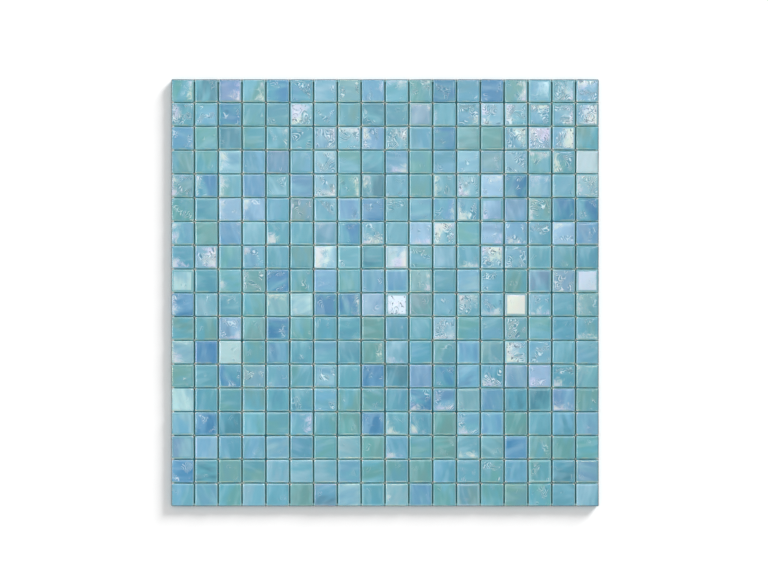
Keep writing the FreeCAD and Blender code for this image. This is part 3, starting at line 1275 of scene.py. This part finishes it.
def lamp(name, kind, azimuth, elevation, distance, **settings):
    """A lamp that points at the sheet's middle, and that the camera doesn't see."""
    light = bpy.data.lights.new(name, kind)
    for setting, value in settings.items():
        setattr(light, setting, value)
    a, e = math.radians(azimuth), math.radians(elevation)
    direction = Vector((math.cos(a) * math.cos(e), math.sin(a) * math.cos(e), math.sin(e)))
    thing = put_in_scene(name, light)
    thing.location = direction * distance
    thing.rotation_mode = "QUATERNION"
    thing.rotation_quaternion = (-direction).to_track_quat("-Z", "Y")
    thing.visible_camera = False
    return thing


def sun(name, azimuth, elevation, share, angle):
    """A far soft lamp that adds this share of light to a level face, and shows in no reflection."""
    strength = share * math.pi / math.sin(math.radians(elevation))
    spread = math.radians(angle)
    made = lamp(name, "SUN", azimuth, elevation, SUN_DISTANCE, energy=strength, angle=spread)
    made.visible_glossy = False
    return made


def softbox(name, azimuth, elevation, distance, size, radiance):
    """A glowing disc that is this bright to look at, 1 being the white of the sky."""
    power = radiance * math.pi * size * size
    return lamp(name, "AREA", azimuth, elevation, distance, shape="DISK", size=size, energy=power)


# %% [markdown]
# A photographer of glass lights the table and the glass apart, and here light linking does what
# black cards do in a studio. One low sun at the upper right lights only the floor, so it casts
# the sheet's soft shadow without flattening the glass. A higher one at the upper left and the
# windows about the sheet light only the sheet. The windows' reflections draw the pale rims, and
# a small bright one high at the upper right, that most faces just miss, puts glints on the
# wrinkles. The overhead window alone lights both.

# %% Light the floor and the glass
FLOOR_SHARE = 0.45
TILE_SHARE = 0.15


def flag(thing, name, lit):
    """Keep a lamp off everything but these objects, as a studio does with a black card."""
    group = bpy.data.collections.new(name)
    for piece in lit:
        group.objects.link(piece)
    thing.light_linking.receiver_collection = group


glass_and_net = glass_rows + [net, glue]
flag(sun("floor_key", 48.0, 15.2, FLOOR_SHARE, 24.0), "lit_floor", [ground])
flag(sun("tile_key", 135.0, 48.0, TILE_SHARE, 20.0), "lit_tiles", glass_and_net)
WINDOWS = (
    ("left_window", 180.0, 56.0, 1.4, 0.45, 5.4),
    ("top_window", 96.0, 56.0, 1.4, 0.4, 4.5),
    ("low_window", 268.0, 58.0, 1.4, 0.3, 3.5),
    ("shine", 45.0, 74.5, 1.35, 0.17, 7.6),
    ("far_window", 222.0, 27.0, 1.8, 0.5, 2.6),
    ("near_window", 40.0, 16.0, 1.8, 0.5, 2.2),
)
for name, azimuth, elevation, distance, size, radiance in WINDOWS:
    flag(softbox(name, azimuth, elevation, distance, size, radiance), "lit_by_" + name, glass_and_net)
softbox("overhead", 90.0, 82.5, 1.2, 0.46, 0.9)
print("Lamps:", len(bpy.data.lights))

# %% [markdown]
# The camera looks straight down on the sheet from 3 m. At that distance the sides of the outer
# tiles hardly show, as in the photo. The lens follows from how many pixels wide the sheet should
# be, and the camera stands a little off the middle, by as much as the sheet does in the photo.

# %% Camera
CAMERA_DISTANCE = 3.0
SENSOR = 36.0
IMAGE_WIDTH = 768
IMAGE_HEIGHT = 585
SHEET_PIXELS = 427.5
SHEET_CENTRE = (385.0, 292.8)

camera_data = bpy.data.cameras.new("camera")
camera = put_in_scene("camera", camera_data)
bpy.context.scene.camera = camera
metres_per_pixel = (cad_high.x - cad_low.x) / SHEET_PIXELS
camera_data.sensor_width = SENSOR
camera_data.lens = SENSOR * CAMERA_DISTANCE / (metres_per_pixel * IMAGE_WIDTH)
camera.location = (
    (IMAGE_WIDTH / 2 - SHEET_CENTRE[0]) * metres_per_pixel,
    (SHEET_CENTRE[1] - IMAGE_HEIGHT / 2) * metres_per_pixel,
    cad_high.z + CAMERA_DISTANCE,
)
camera_data.clip_end = 20.0

bpy.context.scene.view_settings.view_transform = "Standard"
print("Lens in mm:", round(camera_data.lens, 1))
